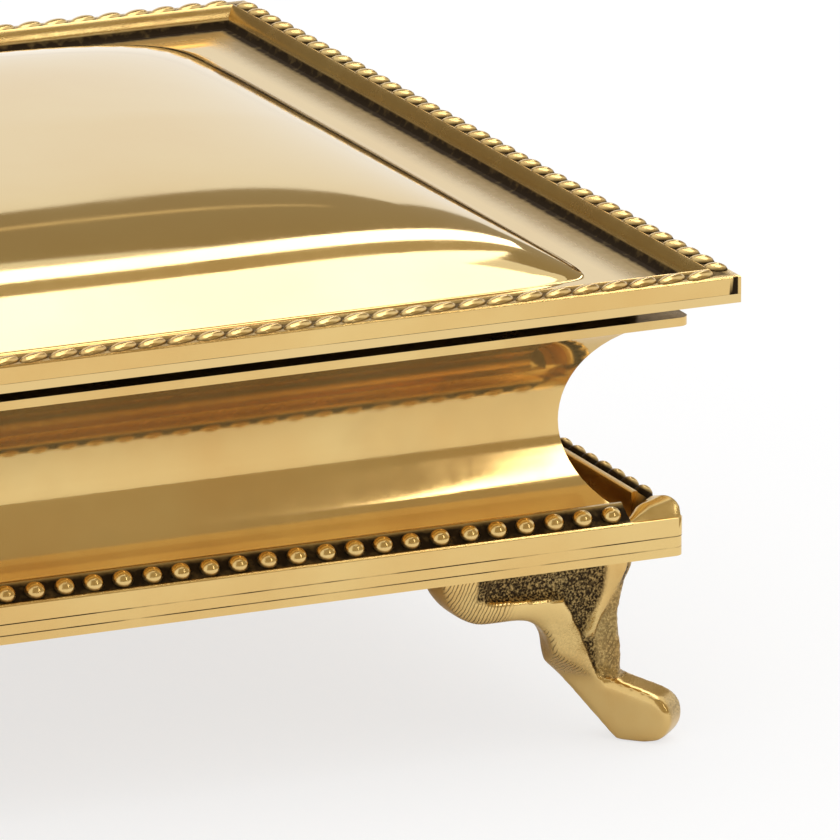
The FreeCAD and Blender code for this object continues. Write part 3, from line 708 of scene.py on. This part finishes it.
def foot_mesh(node):
    """The front right foot, sunk and grained where the casting was left rough."""
    bm = softened_copy(node)
    round_hoof(bm)
    patina_and_shade, filed, moves = [], [], []
    for vertex in bm.verts:
        from_side = (plate_high.x - vertex.co.x) / MM
        from_front = (plate_high.y + vertex.co.y) / MM
        depth = (sole_bottom - vertex.co.z) / MM
        to_front, to_side = -vertex.normal.y, vertex.normal.x
        outward = max(to_front, to_side)
        along = from_side if to_front > to_side else from_front
        facing = smooth_step(outward, *outer_facing)
        before_ridge = between(depth, ridge_line) - along
        before_edge = between(depth, recess_edge) - along

        broad = ridge_least + ridge_spread * (1 - smooth_step(depth, *ridge_taper))
        ridge = 1 - smooth_step(abs(before_ridge), broad, broad + ridge_side)
        ridge *= facing * (1 - smooth_step(depth, *ridge_end))
        sunk = facing * smooth_step(before_edge, *recess_side) * (1 - ridge)
        grain = noise.noise(vertex.co / grain_span)
        relief = grain_height * grain * sunk - recess_depth * sunk + ridge_height * ridge
        flare = between(depth, arris_flare) * (1 - smooth_step(min(from_side, from_front), *flare_side))
        moves.append(vertex.normal * MM * relief + Vector((flare, -flare, 0)) * MM)

        inner = smooth_step(-outward, *inner_facing) * (1 - smooth_step(depth, *inner_end))
        toe = smooth_step(to_side, *toe_facing) * hump(depth, toe_start, toe_end)
        flute = smooth_step(before_ridge, *flute_side) * smooth_step(depth, *flute_start)
        # Painted shade: a band down the leg is darkened, standing for its darker reflection.
        leg_shade = leg_shade_dark * hump(depth, leg_shade_start, leg_shade_end)
        patina_and_shade.append(max(sunk * (1 - flute_shine * flute), inner_dark * inner, toe_dark * toe, leg_shade))

        shin = smooth_step(-min(to_front, to_side), *shin_facing) * hump(depth, shin_start, shin_end)
        tip = smooth_step(along, *tip_side) * (1 - sunk)
        filed.append(facing * max(tip, shin))
    for vertex, move in zip(bm.verts, moves):
        vertex.co += move
        vertex.co.z = max(vertex.co.z, 0.0)
    mesh = finish_mesh("foot_cast", bm, patina_and_shade, "patina_and_shade")
    add_marks(mesh, "filed", filed)
    return mesh


cast_foot = foot_mesh("foot_front_right")
for corner in CORNERS:
    mesh = cast_foot.copy()
    mirror_x, mirror_y = ("left" in corner), ("back" in corner)
    mesh.transform(Matrix.Diagonal((-1 if mirror_x else 1, -1 if mirror_y else 1, 1, 1)))
    if mirror_x != mirror_y:
        mesh.flip_normals()
    node = f"foot_{corner}"
    add_piece(f"{node}_cast", mesh, foot_brass, "body", "cast_feet", node, crisp=False)
bpy.data.meshes.remove(cast_foot)


# Finishes of the CAD pieces

def dress(names, material, edge=0):
    """Gives CAD pieces their material and, where edge is set, worn edges of that width."""
    for name in names:
        node = nodes[name]
        node.data.materials.clear()
        node.data.materials.append(material)
        if edge:
            bevel = node.modifiers.new("worn_edges", "BEVEL")
            bevel.width = edge
            bevel.segments = 2
            bevel.limit_method = "ANGLE"
            bevel.angle_limit = bevel_angle
            bevel.harden_normals = True


def dress_level_faces(name, material, downward=False):
    """Gives the upward faces of a CAD piece a second material, and the downward ones if asked."""
    mesh = nodes[name].data
    mesh.materials.append(material)
    for face in mesh.polygons:
        upright = abs(face.normal.z) if downward else face.normal.z
        face.material_index = 1 if upright > level_face else 0


dress([f"{side}_wall" for side in SIDES], sheet_brass)
dress(["top_frame"], sheet_brass, 0.3 * MM)
dress(["base_plate"], strip_brass, 0.06 * MM)
dress(["sole_plate"], strip_brass, 0.2 * MM)
# The frame's upward faces get the painted shade of seat_brass.
dress_level_faces("top_frame", seat_brass)
dress_level_faces("base_plate", inside_brass)
dress_level_faces("sole_plate", hidden_brass, downward=True)
# The seat bars get painted shade.
dress(["seat_bar_front", "seat_bar_left", "seat_bar_right"], bar_brass)
dress([f"hinge_{piece}_{side}" for piece in ("body_leaf", "lid_leaf", "pin")
       for side in ("left", "right")], hidden_brass)


# Stage and light

floor_half = 8
far_distance, nearer_distance = 3.0, 2.9
shoulder_distance, cove_distance = 0.4, 0.6

# Cards behind the box: azimuth, lower and upper elevation in degrees
flag_back_rows = (
    (0, 33, 46.5), (20, 30.5, 46.5), (25, 27, 46.5), (28, 23, 46.5), (32, 19, 46.5),
    (33, 7, 46), (36, 6, 46), (40, 9, 46), (45, 16, 46), (60, 14, 46))
slit_back_rows = ((0, 34.5, 36.5), (20, 34, 36), (25.5, 33.5, 35), (27, 31, 32.5), (31, 27.5, 28))

# Cards near the back, which lie as bright bands along the lid's front shoulder. Each edge is given by
# azimuth and elevation as seen from the shoulder, along its length and at its right end.
band_low = ((34, 48), (34, 14))
band_high = ((38.5, 53), (36, 20))
glow_low = ((45, 58), (39, 34))
glow_high = ((54, 68), (60, 66))
shoulder_left, shoulder_bend, shoulder_right = -90 * MM, 20 * MM, 79 * MM
shoulder_inset, shoulder_drop = 18.5 * MM, 5 * MM
bend_power = 4
bend_steps = 16

# A small card near the front, which lights the right end of the cove. Rows list the place along the
# wall in millimetres, and the lower and upper elevation; the azimuth turns with the elevation.
cove_rows = ((62, 43, 45), (69, 32, 44.5), (74, 20, 44), (79, 11, 43), (92, 8, 42))
cove_azimuth = 156
cove_turn = 0.005


def direction(azimuth, elevation):
    """From the box outwards; azimuth turns from the back towards the right."""
    turn, tilt = math.radians(azimuth), math.radians(elevation)
    return Vector((math.cos(tilt) * math.sin(turn), math.cos(tilt) * math.cos(turn), math.sin(tilt)))


def card(name, columns, colour, strength):
    """A studio card as a strip of quads between the lower and upper points of its columns."""
    mesh = bpy.data.meshes.new(name)
    points = [point for column in columns for point in column]
    quads = [(low, low + 2, low + 3, low + 1) for low in range(0, len(points) - 2, 2)]
    mesh.from_pydata(points, [], quads)
    mesh.materials.append(glowing(name, colour, strength))
    item = new_object(name, mesh)
    item.visible_camera = False
    item.visible_shadow = False
    item.visible_diffuse = False


def far_card(name, rows, colour, strength, distance=far_distance):
    """A card round the set; rows list azimuth, lower and upper elevation in degrees."""
    card(name, [[direction(azimuth, low) * distance, direction(azimuth, high) * distance]
                for azimuth, low, high in rows], colour, strength)


def level_rows(azimuths, low, high):
    return [(azimuth, low, high) for azimuth in azimuths]


def shoulder_card(name, low_edge, high_edge, colour, strength):
    """A card that runs level along the shoulder and bends away towards its right end."""
    places = [(shoulder_left, 0.0)]
    for step in range(bend_steps + 1):
        share = step / bend_steps
        places.append((shoulder_bend + share * (shoulder_right - shoulder_bend), share ** bend_power))
    columns = []
    for x, bend in places:
        place = Vector((x, lid_low.y + shoulder_inset, lid_high.z - shoulder_drop))
        column = []
        for level, end in (low_edge, high_edge):
            azimuth, elevation = (first + (last - first) * bend for first, last in zip(level, end))
            column.append(place + shoulder_distance * direction(azimuth, elevation))
        columns.append(column)
    card(name, columns, colour, strength)


def cove_card(name, colour, strength):
    """A card that shows only in the right end of the front wall's cove."""
    columns = []
    for x, *elevations in cove_rows:
        place = Vector((x * MM, cove_high.y, (cove_low.z + cove_high.z) / 2))
        columns.append([place + cove_distance * direction(cove_azimuth - cove_turn * tilt ** 2, tilt)
                        for tilt in elevations])
    card(name, columns, colour, strength)


def softbox(name, location, target, width, height, power):
    data = bpy.data.lights.new(name, "AREA")
    data.shape = "RECTANGLE"
    data.size, data.size_y = width, height
    data.energy = power
    item = new_object(name, data)
    item.location = location
    item.rotation_euler = (Vector(target) - Vector(location)).to_track_quat("-Z", "Y").to_euler()
    item.visible_glossy = False


floor_mesh = bpy.data.meshes.new("floor")
floor_mesh.from_pydata([(-floor_half, -floor_half, 0), (floor_half, -floor_half, 0),
                        (floor_half, floor_half, 0), (-floor_half, floor_half, 0)], [], [(0, 1, 2, 3)])
floor_mesh.materials.append(floor_white())
floor = new_object("floor", floor_mesh)

world = bpy.data.worlds.new("studio")
bpy.context.scene.world = world
world.use_nodes = True
sky = world.node_tree.nodes["Background"]
sky.inputs["Color"].default_value = WHITE
sky.inputs["Strength"].default_value = 1.0

far_card("flag_back", flag_back_rows, OLIVE, 0.38)
far_card("slit_back", slit_back_rows, OLIVE, 0.75, nearer_distance)
far_card("flag_front", level_rows(range(95, 230, 9), 0.0, 62), OLIVE, 0.45)
far_card("flag_front_high", level_rows(range(95, 230, 9), 44, 62), OLIVE, 0.22, nearer_distance)
far_card("flag_left", level_rows(range(-80, 10, 10), 0.5, 36), OLIVE, 0.25)
far_card("softbox_top", level_rows(range(20, 50, 10), 59, 88) + level_rows(range(50, 140, 10), 54.5, 88),
         WHITE, 3.0)
shoulder_card("band_back", band_low, band_high, WHITE, 4.0)
shoulder_card("gap_back", band_high, glow_low, OLIVE, 0.55)
shoulder_card("glow_back", glow_low, glow_high, WHITE, 3.0)
cove_card("card_near", WHITE, 7.0)
softbox("overhead", location=(0.3, 0.3, 2.2), target=(0, 0, 0), width=2.6, height=2.2, power=8)


# Camera, placed from the lid's front right corner

rim_edge = 1.95 * MM
camera_offset = Vector((-549.86, -1126.36, 346.70)) * MM
camera_tilt, camera_turn = 16.107, 24.552
view_corner = Vector((lid_high.x, lid_low.y, rim_bottom + rim_edge))

camera_data = bpy.data.cameras.new("camera")
camera_data.sensor_width = 36.0
camera_data.lens = 557.27
camera_data.clip_start = 0.05
camera = new_object("camera", camera_data)
camera.location = view_corner + camera_offset
camera.rotation_euler = (math.radians(90 - camera_tilt), 0, math.radians(-camera_turn))
bpy.context.scene.camera = camera
bpy.context.scene.view_settings.view_transform = "Standard"
